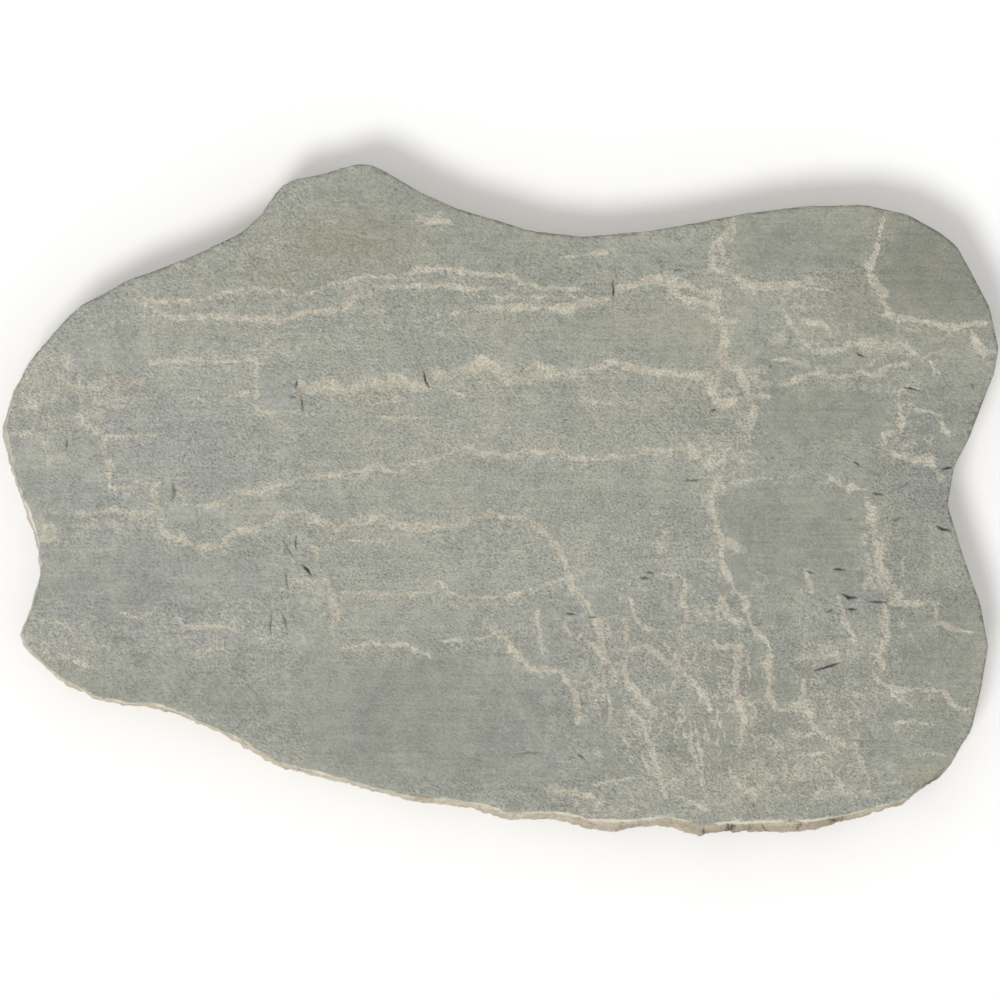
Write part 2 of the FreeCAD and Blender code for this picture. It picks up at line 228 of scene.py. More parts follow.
# Cracks and undercut lips, cut in and made dark with painted shade, in rows of the same kind.
CRACK_ROWS = [
    (1.0, 2.2, 424, 368, 425, 380, 431, 390), (1.0, 2.2, 613, 278, 614, 300), (0.5, 2, 604, 248, 615, 256),
    (0.7, 2, 673, 270, 684, 270), (0.5, 2, 524, 366, 520, 374), (0.5, 2, 600, 364, 598, 369),
    (0.7, 2, 373, 287, 374, 293), (0.6, 2, 422, 284, 423, 289), (0.9, 2, 298, 378, 295, 389),
    (0.7, 2.5, 301, 394, 303, 412), (0.6, 4, 289, 396, 296, 397), (0.7, 2.5, 67, 439, 67, 449),
    (0.6, 5, 172, 478, 174, 490, 173, 501), (0.7, 2, 281, 536, 288, 547, 295, 560),
    (0.7, 2, 296, 534, 297, 551), (1.0, 3, 301, 563, 307, 569, 312, 577), (0.7, 2, 286, 571, 288, 590),
    (0.7, 2, 272, 610, 271, 623, 270, 636), (0.7, 2, 282, 610, 285, 620, 288, 631),
    (0.4, 2, 175, 692, 179, 704), (0.8, 2.5, 646, 572, 655, 573), (0.8, 2.5, 640, 577, 649, 577),
    (0.8, 2.2, 590, 617, 599, 616), (0.9, 2.2, 566, 612, 578, 614), (0.5, 3, 512, 754, 530, 752, 547, 753),
    (0.3, 3, 464, 757, 499, 762), (1.0, 4, 842, 594, 850, 597, 858, 598), (0.8, 3, 868, 601, 888, 602),
    (0.9, 3, 845, 609, 859, 609), (0.8, 2.5, 826, 612, 835, 609),
    (1.0, 2.4, 812, 672, 822, 668, 832, 665, 843, 662), (1.0, 3, 935, 525, 944, 529, 953, 531),
    (0.9, 2.5, 833, 569, 847, 570), (0.7, 2.5, 804, 570, 816, 573), (0.9, 2.5, 853, 461, 860, 467),
    (0.8, 2.5, 871, 492, 884, 495), (0.4, 3, 886, 493, 902, 486, 918, 478), (0.5, 3, 893, 521, 904, 516),
    (0.5, 2.5, 910, 497, 918, 501), (0.45, 3, 846, 520, 854, 518), (0.5, 2, 666, 518, 680, 514),
    (0.8, 2.2, 684, 480, 702, 479), (0.7, 2.5, 708, 412, 719, 409), (0.9, 2.5, 856, 352, 865, 357),
    (0.9, 2.5, 903, 387, 920, 390), (0.6, 2.5, 965, 384, 972, 384, 975, 392), (0.6, 2, 771, 362, 771, 370),
    (0.5, 2, 755, 359, 764, 359), (1.0, 3, 940, 469, 954, 467), (0.5, 2, 843, 305, 844, 308),
    (0.4, 2.5, 848, 286, 857, 288), (0.5, 2, 989, 359, 996, 359), (0.6, 2.5, 126, 291, 128, 296),
    (0.6, 3, 16, 405, 16, 409), (0.8, 2, 754, 802, 754, 807), (0.5, 2, 471, 384, 478, 390),
    (0.5, 2, 520, 387, 523, 390), (0.8, 2.2, 577, 752, 587, 760), (0.5, 2, 154, 580, 157, 581),
]

# How far the broken front edge reaches in over the face: place across the picture and millimetres.
STRIP = [
    (0, -0.3), (60, -0.2), (330, 0.5), (470, 0.9), (560, 1.8), (620, 2.4), (700, 2.4), (825, 2.0),
    (850, 0.6), (890, 0), (950, 0),
]

# Gaps between chips, most of them along the front edge: place and width in pixels, depth in millimetres.
# Deeper gaps get more painted shade, as well as a deeper cut.
NOTCHES = [
    (624, 828, 2.5, 1.0), (628, 829, 2, 0.6), (641, 827, 2, 0.8), (650, 825, 4, 0.7), (700, 832, 3, 1.2),
    (705, 832, 4, 1.6), (729, 826, 4, 1.4), (735, 825, 7, 2.0), (743, 828, 2.5, 1.0), (749, 828, 2, 0.7),
    (755, 827, 2.5, 1.2), (763, 828, 3, 1.3), (768, 826, 2, 0.8), (801, 828, 3, 1.4), (816, 825, 2, 0.6),
    (834, 819, 8, 2.2), (843, 817, 3, 0.8), (560, 822, 3, 0.7), (596, 824, 2.5, 0.5), (478, 810, 3, 0.7),
    (440, 806, 2.5, 0.5), (385, 794, 3, 0.7), (345, 783, 2.5, 0.5), (300, 770, 3, 0.7), (916, 790, 5, 1.4),
    (24, 655, 3, 1.2), (8, 462, 3, 0.8), (21, 378, 3, 0.7), (988, 300, 5, 0.6), (990, 384, 6, 0.8),
    (969, 436, 5, 0.8), (962, 452, 6, 1.0), (949, 506, 6, 0.8), (286, 182, 4, 0.6), (418, 190, 5, 0.7),
    (128, 292, 4, 0.6), (525, 231, 6, 0.6), (662, 226, 5, 0.6), (720, 213, 6, 0.6),
]

# Broken, speckled patches: centre, half width and half height in pixels, and strength.
BROKEN = [
    (47, 376, 28, 26, 0.75), (126, 381, 20, 10, 0.9), (112, 403, 20, 6, 0.8), (48, 362, 18, 6, 0.8),
    (30, 404, 16, 8, 0.8), (50, 535, 16, 7, 1.0), (87, 529, 9, 5, 1.0), (107, 526, 9, 4, 0.9),
    (90, 392, 40, 14, 0.65), (46, 424, 24, 10, 0.55), (92, 421, 18, 8, 0.6), (190, 364, 30, 8, 0.5),
    (126, 520, 26, 8, 0.7), (44, 446, 12, 12, 0.5), (432, 219, 14, 4, 0.6), (306, 585, 16, 8, 0.6),
    (270, 640, 14, 20, 0.5), (234, 683, 18, 6, 0.35), (824, 652, 16, 12, 0.8), (686, 660, 22, 34, 0.45),
    (652, 740, 22, 42, 0.45), (690, 770, 30, 24, 0.45), (770, 770, 40, 26, 0.3), (835, 790, 22, 9, 0.8),
    (795, 772, 16, 10, 0.9), (888, 640, 12, 40, 0.4), (876, 560, 14, 34, 0.6), (905, 450, 26, 16, 0.5),
    (735, 400, 22, 14, 0.5), (604, 655, 12, 34, 0.5), (820, 700, 20, 30, 0.45), (742, 450, 12, 26, 0.5),
    (905, 400, 12, 18, 0.4), (590, 800, 30, 10, 0.5), (925, 690, 26, 10, 0.35), (490, 628, 10, 12, 0.6),
    (541, 633, 6, 16, 0.6), (860, 700, 22, 20, 0.45), (780, 334, 8, 4, 0.6), (800, 300, 24, 20, 0.35),
    (640, 800, 60, 12, 0.3), (720, 800, 50, 12, 0.3), (850, 770, 30, 20, 0.3), (690, 560, 24, 14, 0.4),
    (700, 620, 24, 14, 0.45), (600, 690, 16, 30, 0.45), (500, 375, 60, 10, 0.5), (250, 350, 60, 12, 0.3),
    (720, 440, 20, 20, 0.4), (350, 380, 50, 10, 0.45), (230, 620, 60, 24, 0.3), (60, 640, 40, 20, 0.35),
    (620, 560, 60, 30, 0.3), (270, 250, 30, 10, 0.35), (380, 318, 60, 14, 0.3), (704, 455, 12, 10, 0.9),
    (665, 540, 8, 12, 0.7), (186, 489, 5, 9, 0.8), (866, 798, 12, 5, 0.7), (587, 808, 14, 8, 0.6),
    (676, 786, 14, 12, 0.6),
]

# Smooth plates of clean bedding: left, top, right, bottom in pixels, how smooth, millimetres of soft edge.
PLATES = [
    (734, 200, 872, 268, 0.9, 3), (884, 212, 1000, 316, 1.0, 3), (560, 236, 720, 266, 0.6, 5),
    (892, 324, 1000, 386, 0.6, 4), (765, 386, 892, 440, 0.95, 3), (738, 440, 872, 482, 0.45, 4),
    (727, 484, 868, 592, 1.0, 2), (905, 398, 964, 450, 0.6, 4), (648, 302, 712, 362, 0.7, 4),
    (560, 316, 690, 352, 0.6, 4), (300, 172, 560, 262, 0.6, 8), (60, 328, 150, 374, 0.7, 4),
    (120, 324, 240, 350, 0.5, 5), (10, 446, 66, 548, 0.65, 4), (64, 436, 105, 504, 0.55, 4),
    (40, 552, 272, 610, 0.6, 6), (166, 502, 284, 526, 0.6, 3), (110, 650, 190, 672, 0.5, 5),
    (292, 588, 338, 672, 0.7, 4), (500, 342, 586, 363, 0.6, 4), (264, 368, 294, 410, 0.7, 2),
    (300, 478, 444, 512, 0.45, 5), (420, 466, 690, 506, 0.35, 6), (562, 578, 610, 614, 0.7, 3),
    (356, 602, 488, 640, 0.45, 5), (300, 655, 558, 782, 0.85, 7), (540, 600, 572, 652, 0.6, 3),
    (749, 592, 790, 632, 0.5, 4), (771, 668, 812, 706, 0.7, 3), (560, 716, 628, 750, 0.55, 5),
    (870, 722, 956, 782, 0.6, 4), (712, 690, 740, 726, 0.6, 3), (900, 608, 990, 686, 0.75, 3),
    (70, 672, 300, 722, 0.55, 7), (885, 694, 972, 720, 0.5, 3), (728, 286, 1000, 400, 0.55, 4),
    (690, 606, 712, 640, 0.7, 2), (654, 672, 682, 702, 0.7, 2), (604, 600, 624, 640, 0.6, 2),
    (752, 645, 766, 700, 0.6, 2), (704, 716, 736, 762, 0.6, 3), (584, 742, 624, 780, 0.6, 3),
    (680, 708, 694, 760, 0.5, 2), (610, 690, 628, 720, 0.6, 2),
]

# Soft washes of colour: centre, half width and half height in pixels, and strength.
WARM = [
    (348, 240, 60, 26, 1.0), (268, 278, 24, 12, 0.7), (600, 310, 120, 50, 0.3), (880, 300, 120, 60, 0.3),
    (760, 740, 140, 70, 0.3), (560, 400, 160, 40, 0.25), (934, 777, 22, 14, 1.0), (620, 824, 40, 8, 0.3),
    (720, 829, 50, 8, 0.45), (800, 827, 40, 8, 0.35), (840, 820, 14, 8, 0.5),
]
BLUISH = [
    (110, 470, 130, 130, 0.9), (120, 600, 130, 70, 1.0), (250, 640, 120, 60, 0.7), (420, 590, 140, 60, 0.3),
    (560, 752, 44, 14, 1.0), (720, 590, 90, 50, 0.4), (290, 396, 16, 10, 0.8), (560, 620, 60, 60, 0.4),
    (866, 603, 26, 12, 1.0), (300, 570, 20, 40, 0.6), (936, 480, 30, 30, 0.8), (890, 720, 40, 20, 0.4),
    (430, 720, 200, 80, 0.6),
]
OLIVE = [
    (940, 265, 90, 80, 1.0), (800, 240, 110, 60, 0.45), (820, 410, 110, 60, 0.6), (800, 540, 110, 70, 0.55),
    (930, 460, 90, 120, 0.65), (930, 650, 90, 110, 0.65), (430, 725, 170, 70, 0.6), (640, 330, 110, 40, 0.3),
    (450, 215, 160, 60, 0.35), (760, 690, 170, 120, 0.5), (300, 270, 160, 50, 0.35),
    (180, 690, 140, 40, 0.35), (120, 590, 110, 40, 0.25), (680, 730, 110, 90, 0.45),
    (560, 290, 160, 40, 0.3), (860, 270, 70, 70, 0.65), (900, 560, 60, 90, 0.7), (580, 790, 80, 34, 0.5),
    (860, 350, 110, 40, 0.45),
]
VEINED = [
    (700, 690, 110, 110, 0.9), (800, 720, 80, 90, 0.9), (620, 670, 50, 90, 0.7), (890, 600, 40, 70, 0.6),
    (60, 390, 60, 34, 0.6), (110, 520, 60, 24, 0.5), (250, 640, 70, 40, 0.4), (850, 360, 70, 34, 0.6),
    (590, 590, 60, 40, 0.4), (735, 400, 30, 50, 0.5), (120, 640, 80, 30, 0.4), (300, 300, 160, 30, 0.4),
    (330, 600, 30, 50, 0.5),
]
PINK = [
    (590, 640, 22, 34, 0.8), (740, 680, 10, 44, 0.8), (833, 740, 20, 10, 0.8), (540, 448, 40, 8, 0.6),
    (795, 773, 14, 8, 0.9), (860, 620, 20, 20, 0.5), (300, 311, 40, 10, 0.7), (270, 527, 40, 14, 0.6),
    (690, 655, 40, 30, 0.5), (750, 622, 16, 10, 0.6), (480, 362, 20, 10, 0.5), (660, 285, 24, 12, 0.5),
    (745, 385, 12, 20, 0.6), (180, 538, 20, 12, 0.6), (126, 381, 20, 10, 0.6), (330, 388, 20, 8, 0.6),
]
WASHES = {"warm": WARM, "bluish": BLUISH, "olive": OLIVE, "veined": VEINED, "pink": PINK}


def traced(rows):
    """The rows with the numbers of each line taken in pairs, as points."""
    return [(strength, width, np.reshape(numbers, (-1, 2))) for strength, width, *numbers in rows]


RIDGES = traced(FAR_RIDGES + LEFT_RIDGES + MIDDLE_RIDGES + NEAR_RIDGES + RIGHT_RIDGES)
CRACKS = traced(CRACK_ROWS)


# Repeatable noise, for ragged lines and uneven ground.

HASH_ACROSS = np.uint64(374761393)
HASH_UP = np.uint64(668265263)
HASH_MIX = 1274126177
HASH_LIMIT = 0xFFFFFFFF
CORNER_SHIFT = 100000


def lattice_value(across, up, seed):
    """A repeatable number from 0 to 1 for each lattice corner."""
    mixed = across.astype(np.uint64) * HASH_ACROSS + up.astype(np.uint64) * HASH_UP
    mixed = (mixed + np.uint64(seed * HASH_MIX)) & np.uint64(HASH_LIMIT)
    mixed = ((mixed ^ (mixed >> np.uint64(13))) * np.uint64(HASH_MIX)) & np.uint64(HASH_LIMIT)
    return (mixed ^ (mixed >> np.uint64(16))).astype(float) / HASH_LIMIT


def gradient_noise(x, y, seed):
    """Smooth noise of about -0.7 to 0.7 with features one unit across."""
    cell_x = np.floor(x)
    cell_y = np.floor(y)
    inner_x = x - cell_x
    inner_y = y - cell_y
    total = np.zeros_like(x)
    weight_x = inner_x ** 3 * (inner_x * (inner_x * 6 - 15) + 10)
    weight_y = inner_y ** 3 * (inner_y * (inner_y * 6 - 15) + 10)
    for side_x in (0, 1):
        for side_y in (0, 1):
            corner_x = (cell_x + side_x + CORNER_SHIFT).astype(np.int64)
            corner_y = (cell_y + side_y + CORNER_SHIFT).astype(np.int64)
            angle = 2 * np.pi * lattice_value(corner_x, corner_y, seed)
            slope = np.cos(angle) * (inner_x - side_x) + np.sin(angle) * (inner_y - side_y)
            share_x = weight_x if side_x else 1 - weight_x
            share_y = weight_y if side_y else 1 - weight_y
            total += slope * share_x * share_y
    return total


def fractal(points, wavelength, octaves, seed, gain=0.5):
    """Layered noise over points, its largest features about a wavelength across."""
    total = np.zeros(len(points))
    for octave in range(octaves):
        scale = 2 ** octave / wavelength
        total += gain ** octave * gradient_noise(points[:, 0] * scale, points[:, 1] * scale, seed + octave)
    return total


def smooth_step(low, high, value):
    """A smooth rise from 0 at low to 1 at high."""
    share = np.clip((value - low) / (high - low), 0, 1)
    return share * share * (3 - 2 * share)


# The camera, set so that the stone fills the same box of the picture as in the photograph.

def camera_axes():
    """The camera's right, up and backward directions."""
    back = Vector((-math.tan(LEAN_TO_LEFT), -math.tan(LEAN_TO_FRONT), 1)).normalized()
    right = Vector((0, 1, 0)).cross(back).normalized()
    return right, back.cross(right), back


def project(points, place):
    """Picture coordinates of points in space, in pixels."""
    axes = np.array([list(axis) for axis in camera_axes()])
    seen = (points - np.array(place)) @ axes.T
    scale = LENS / SENSOR * IMAGE_SIZE / -seen[:, 2]
    return np.column_stack([IMAGE_SIZE / 2 + seen[:, 0] * scale, IMAGE_SIZE / 2 - seen[:, 1] * scale])


def frame_camera(points):
    """Where the camera stands for these points to fill the photograph's box."""
    left, top, right, bottom = PHOTO_BOX
    axes = camera_axes()
    target = (cad_low + cad_high) / 2
    distance = (cad_high.x - cad_low.x) * LENS / SENSOR
    for _ in range(CAMERA_ROUNDS):
        seen = project(points, target + axes[2] * distance)
        low = seen.min(0)
        high = seen.max(0)
        pixel = distance * SENSOR / LENS / IMAGE_SIZE
        target += axes[0] * float((low[0] + high[0] - left - right) / 2 * pixel)
        target -= axes[1] * float((low[1] + high[1] - top - bottom) / 2 * pixel)
        distance *= float((high[0] - low[0]) / (right - left))
    return target + axes[2] * distance


node_points = np.array([list(vertex.co) for vertex in node.data.vertices])
camera_place = frame_camera(node_points)
top_plane = float(cad_high.z) - FACE_DROP
pixel_size = float((camera_place.z - top_plane) * SENSOR / LENS / IMAGE_SIZE)


def on_top(pixels):
    """Where picture points lie on the stone's upper face."""
    right, up, back = camera_axes()
    pixels = np.asarray(pixels, float)
    across = (pixels[:, 0] - IMAGE_SIZE / 2) / IMAGE_SIZE * SENSOR / LENS
    upward = (IMAGE_SIZE / 2 - pixels[:, 1]) / IMAGE_SIZE * SENSOR / LENS
    rays = np.outer(across, right) + np.outer(upward, up) - np.array(back)
    reach = (top_plane - camera_place.z) / rays[:, 2]
    return np.array(camera_place)[:2] + rays[:, :2] * reach[:, None]


# The shape of the CAD stone: its outline, its pitched edge and the heights of its cleft plates.

JOIN_REACH = 1e-6
RING_SHARE = 0.62
CORNER_ROUNDING = 2.2 * MM
RAY_START = 14 * MM
RAY_LIFT = 10 * MM
RASTER_MARGIN = 6 * MM
LEVEL_ENOUGH = 0.99
STEP_BLUR = 3


def joined_copy(mesh):
    """The CAD mesh with the corners that its faces share joined up."""
    solid = bmesh.new()
    solid.from_mesh(mesh)
    bmesh.ops.remove_doubles(solid, verts=solid.verts, dist=JOIN_REACH)
    return solid


def section(solid, height):
    """The closed line in which a level plane cuts the stone, counter-clockwise."""
    cut = bmesh.ops.bisect_plane(
        solid, geom=solid.verts[:] + solid.edges[:] + solid.faces[:],
        plane_co=(0, 0, height), plane_no=(0, 0, 1))["geom_cut"]
    edges = [item for item in cut if isinstance(item, bmesh.types.BMEdge)]
    links = {}
    for edge in edges:
        first, second = edge.verts
        links.setdefault(first, []).append(second)
        links.setdefault(second, []).append(first)
    start = edges[0].verts[0]
    walk = [start]
    before = None
    here = start
    while True:
        after = next(other for other in links[here] if other is not before)
        if after is start:
            break
        walk.append(after)
        before = here
        here = after
    loop = np.array([(vertex.co.x, vertex.co.y) for vertex in walk])
    around = np.roll(loop, -1, 0)
    area = np.sum(loop[:, 0] * around[:, 1] - around[:, 0] * loop[:, 1])
    return loop if area > 0 else loop[::-1]


def even_loop(loop, step, blur):
    """The loop with points a step apart, its corners rounded."""
    closed = np.vstack([loop, loop[:1]])
    lengths = np.concatenate([[0], np.cumsum(np.linalg.norm(np.diff(closed, axis=0), axis=1))])
    count = int(round(lengths[-1] / step))
    along = np.arange(count) * lengths[-1] / count
    even = np.interp(along, lengths, closed[:, 0]) + 1j * np.interp(along, lengths, closed[:, 1])
    even = blurred_ring(even, lengths[-1] / count, blur)
    return np.column_stack([even.real, even.imag])


def blurred_ring(values, step, blur):
    """Values round a ring, smoothed over a length."""
    waves = np.fft.fftfreq(len(values), step)
    smoothed = np.fft.ifft(np.fft.fft(values) * np.exp(-2 * (np.pi * waves * blur) ** 2))
    return smoothed if np.iscomplexobj(values) else smoothed.real


def outward_normals(loop):
    along = np.roll(loop, -1, 0) - np.roll(loop, 1, 0)
    normals = np.column_stack([along[:, 1], -along[:, 0]])
    return normals / np.linalg.norm(normals, axis=1)[:, None]


solid = joined_copy(node.data)
tree = BVHTree.FromBMesh(solid)
ring = even_loop(section(solid, float(cad_high.z) * RING_SHARE), RING_STEP, CORNER_ROUNDING)
solid.free()
normals = outward_normals(ring)


def edge_offset(heights):
    """How far the CAD edge lies outside the ring, at one height for each ring point."""
    offsets = np.zeros(len(ring))
    for number, (point, normal, height) in enumerate(zip(ring, normals, heights)):
        start = point + normal * RAY_START
        hit = tree.ray_cast(Vector((*start, height)), Vector((*-normal, 0)), 4 * RAY_START)
        offsets[number] = RAY_START - hit[3] if hit[0] is not None else 0.0
    return blurred_ring(offsets, RING_STEP, CORNER_ROUNDING)


def height_raster():
    """Heights of the CAD cleft plates on a fine grid, carried a little past the edge of the stone."""
    xs = np.arange(cad_low.x - RASTER_MARGIN, cad_high.x + RASTER_MARGIN, RASTER)
    ys = np.arange(cad_low.y - RASTER_MARGIN, cad_high.y + RASTER_MARGIN, RASTER)
    heights = np.full((len(ys), len(xs)), np.nan)
    down = Vector((0, 0, -1))
    for row, y in enumerate(ys):
        for column, x in enumerate(xs):
            hit = tree.ray_cast(Vector((x, y, cad_high.z + RAY_LIFT)), down)
            if hit[0] is not None and hit[1].z > LEVEL_ENOUGH:
                heights[row, column] = hit[0].z
    while np.isnan(heights).any():
        for shift, axis in ((1, 0), (-1, 0), (1, 1), (-1, 1)):
            moved = np.roll(heights, shift, axis)
            heights = np.where(np.isnan(heights), moved, heights)
    return xs, ys, heights


def box_blur(values, reach):
    """Mean over a square window, twice."""
    for axis in (0, 1, 0, 1):
        size = values.shape[axis]
        margins = [(reach + 1, reach) if side == axis else (0, 0) for side in (0, 1)]
        sums = np.cumsum(np.pad(values, margins, mode="edge"), axis)
        upper = np.take(sums, np.arange(size) + 2 * reach + 1, axis)
        lower = np.take(sums, np.arange(size), axis)
        values = (upper - lower) / (2 * reach + 1)
    return values


raster_x, raster_y, plate_heights = height_raster()
soft_heights = box_blur(plate_heights, STEP_BLUR)


def sample(grid, points):
    """Grid values at points, blended between the nearest four."""
    column = np.clip((points[:, 0] - raster_x[0]) / RASTER, 0, len(raster_x) - 1.001)
    row = np.clip((points[:, 1] - raster_y[0]) / RASTER, 0, len(raster_y) - 1.001)
    left = column.astype(int)
    below = row.astype(int)
    across = column - left
    upward = row - below
    lower = grid[below, left] * (1 - across) + grid[below, left + 1] * across
    upper = grid[below + 1, left] * (1 - across) + grid[below + 1, left + 1] * across
    return lower * (1 - upward) + upper * upward


def inside_loop(points, loop):
    """Whether each point lies inside a loop, by counting crossings row by row of the raster."""
    after = np.roll(loop, -1, 0)
    mask = np.zeros((len(raster_y), len(raster_x)), bool)
    for row, y in enumerate(raster_y):
        crossing = (loop[:, 1] <= y) != (after[:, 1] <= y)
        share = (y - loop[crossing, 1]) / (after[crossing, 1] - loop[crossing, 1])
        at = np.sort(loop[crossing, 0] + share * (after[crossing, 0] - loop[crossing, 0]))
        mask[row] = np.searchsorted(at, raster_x) % 2 == 1
    column = np.clip(np.round((points[:, 0] - raster_x[0]) / RASTER).astype(int), 0, len(raster_x) - 1)
    row = np.clip(np.round((points[:, 1] - raster_y[0]) / RASTER).astype(int), 0, len(raster_y) - 1)
    return mask[row, column]


def loop_distance(points, loop):
    """Distance from each point to the nearest of a loop's points, and which that is."""
    distance = np.zeros(len(points))
    nearest = np.zeros(len(points), int)
    block = 8000
    for start in range(0, len(points), block):
        part = points[start:start + block]
        gaps = (part[:, None, 0] - loop[None, :, 0]) ** 2 + (part[:, None, 1] - loop[None, :, 1]) ** 2
        nearest[start:start + block] = gaps.argmin(1)
        distance[start:start + block] = np.sqrt(gaps.min(1))
    return distance, nearest


# Ridge, crack and colour fields over the cleft face. A ridge's rise is in millimetres, more for a wide one.

LIGHT_SIDE = np.array([-0.5, -0.866])
STEP_FADE = 9 * MM
END_TAPER = 6 * MM
CRUMB_FADE = 4 * MM
LIP_FADE = 1.2 * MM
UNEVENNESS = 0.9
RIDGE_RISE = 0.5
RISE_PER_PIXEL = 0.07
CRACK_REACH = 6 * MM
RAGGED_LENGTH = 5 * MM


def line_fields(points, line, reach):
    """Which points are near a line, how far they lie beyond it as the light falls, how much it faces the
    light, and the way along it to its nearer end."""
    low = line.min(0) - reach
    high = line.max(0) + reach
    near = np.where(((points > low) & (points < high)).all(1))[0]
    here = points[near]
    best = np.full(len(near), np.inf)
    side = np.zeros(len(near))
    lit = np.zeros(len(near))
    along = np.zeros(len(near))
    walked = 0.0
    for first, second in zip(line[:-1], line[1:]):
        step = second - first
        length = float(np.linalg.norm(step))
        share = np.clip(((here - first) @ step) / length ** 2, 0, 1)
        gap = here - first - share[:, None] * step
        distance = np.linalg.norm(gap, axis=1)
        normal = np.array([step[1], -step[0]]) / length
        if normal @ LIGHT_SIDE > 0:
            normal = -normal
        closer = distance < best
        best = np.where(closer, distance, best)
        side = np.where(closer, np.where(gap @ normal >= 0, 1.0, -1.0), side)
        lit = np.where(closer, abs(normal @ LIGHT_SIDE), lit)
        along = np.where(closer, walked + share * length, along)
        walked += length
    keep = best < reach
    ends = np.minimum(along, walked - along)
    return near[keep], (side * best)[keep], lit[keep], ends[keep]


def ridge_fields(points):
    """Height steps, cream cover and crumbled ground that the cleft edges give."""
    step = np.zeros(len(points))
    cream = np.zeros(len(points))
    crumbs = np.zeros(len(points))
    swell = 1 + UNEVENNESS * fractal(points, 11 * MM, 2, SEED + 110)
    force = 1 + UNEVENNESS * fractal(points, 8 * MM, 2, SEED + 120)
    for strength, width, pixels in RIDGES:
        band = width * pixel_size
        which, distance, lit, ends = line_fields(points, on_top(pixels), 4 * STEP_FADE)
        taper = smooth_step(-0.3 * END_TAPER, END_TAPER, ends)
        height = strength * (RIDGE_RISE + RISE_PER_PIXEL * width) * MM * np.sqrt(lit) * taper
        edge = np.tanh(distance / (0.3 * band)) * np.exp(-np.abs(distance) / STEP_FADE)
        step[which] += 0.5 * height * edge
        half = np.where(distance > 0, 0.5, 0.75) * band * np.clip(swell[which], 0.5, 1.6)
        cover = np.exp(-(np.abs(distance) / half) ** 2.4)
        fullness = 1 - 0.03 * np.clip(width - 4, 0, 9)
        share = strength * fullness * np.clip(force[which], 0.65, 1.35) * (0.6 + 0.4 * taper)
        cream[which] = np.maximum(cream[which], share * cover)
        skirt = np.exp(-np.abs(distance) / np.where(distance > 0, LIP_FADE, CRUMB_FADE))
        crumbs[which] = np.maximum(crumbs[which], 0.75 * strength * taper * skirt)
    return step, cream, crumbs


def crack_fields(points):
    """Depth of the cracks, from 0 to 1, each widest at its middle, which also sets the shade painted into
    them.
    """
    depth = np.zeros(len(points))
    for strength, width, pixels in CRACKS:
        line = on_top(pixels)
        which, distance, _, ends = line_fields(points, line, CRACK_REACH)
        half_length = 0.5 * np.linalg.norm(np.diff(line, axis=0), axis=1).sum()
        lens = (ends / half_length) ** 0.35
        half = (0.15 + 0.45 * lens) * width * pixel_size
        cover = lens * np.clip(1.15 - np.abs(distance) / half, 0, 1)
        depth[which] = np.maximum(depth[which], strength * cover)
    return depth


def blobs(points, spots):
    """Soft oval spots, the strongest at each point."""
    cover = np.zeros(len(points))
    for x, y, half_width, half_height, strength in spots:
        centre = on_top([(x, y)])[0]
        offset = (points - centre) / (np.array([half_width, half_height]) * pixel_size)
        cover = np.maximum(cover, strength * np.exp(-0.7 * (offset ** 2).sum(1)))
    return cover


def plate_cover(points):
    """How smooth the bedding is at each point, from 0 for grainy to 1."""
    cover = np.zeros(len(points))
    for left, top, right, bottom, smoothness, soft in PLATES:
        low, high = on_top([(left, bottom), (right, top)])
        inner = np.minimum(points - low, high - points).min(1)
        cover = np.maximum(cover, smoothness * smooth_step(-soft * MM, soft * MM, inner))
    return cover


def warped(points, wavelength, reach, seed):
    """Points moved a little by noise, so that what is drawn there comes out ragged."""
    return points + reach * np.column_stack([
        fractal(points, wavelength, 3, seed, 0.6),
        fractal(points, wavelength, 3, seed + 20, 0.6),
    ])


def ragged_lines(points):
    """Points moved so that the cleft edges wander."""
    return warped(warped(points, RAGGED_LENGTH, 1.0 * MM, SEED), 1.8 * MM, 0.35 * MM, SEED + 300)


def washes(points):
    """The colour fields, which run on over the edge of the stone."""
    drifted = warped(points, 30 * MM, 10 * MM, SEED + 200)
    return {name: blobs(drifted, spots) for name, spots in WASHES.items()}


# The cleft face.

THIN_RIDGE = 5
RIDGE_FINE_REACH = 0.2 * MM
CRACK_FINE_REACH = 0.7 * MM
MEDIUM_REACH = 2.0 * MM
JITTER = 0.22
RIM_CLEARANCE = 0.7 * RING_STEP
BEDDING_DROP = 1.5 * MM
SWELL_HEIGHT = 0.55 * MM
WAVE_HEIGHT = 0.20 * MM
GRAIN_HEIGHT = 0.12 * MM
CRUMB_HEIGHT = 0.30 * MM
CRACK_DEPTH = 1.1 * MM
INSIDE_ONLY = 1
CORNER_TOLERANCE = 1e-7


def lattice(step):
    """An even triangular lattice over the stone, and how often the step can double at each of its points."""
    rows = int((cad_high.y - cad_low.y) / (step * math.sqrt(0.75))) + 1
    columns = int((cad_high.x - cad_low.x) / step) + 1
    row, column = np.mgrid[0:rows, 0:columns]
    points = np.column_stack([
        (cad_low.x + (column + 0.5 * (row % 2)) * step).ravel(),
        (cad_low.y + row * math.sqrt(0.75) * step).ravel(),
    ])
    shear = column - row // 2
    doubled = ((row % 2 == 0) & (shear % 2 == 0)).astype(int)
    doubled += (row % 4 == 0) & (shear % 4 == 0)
    return points, doubled.ravel()


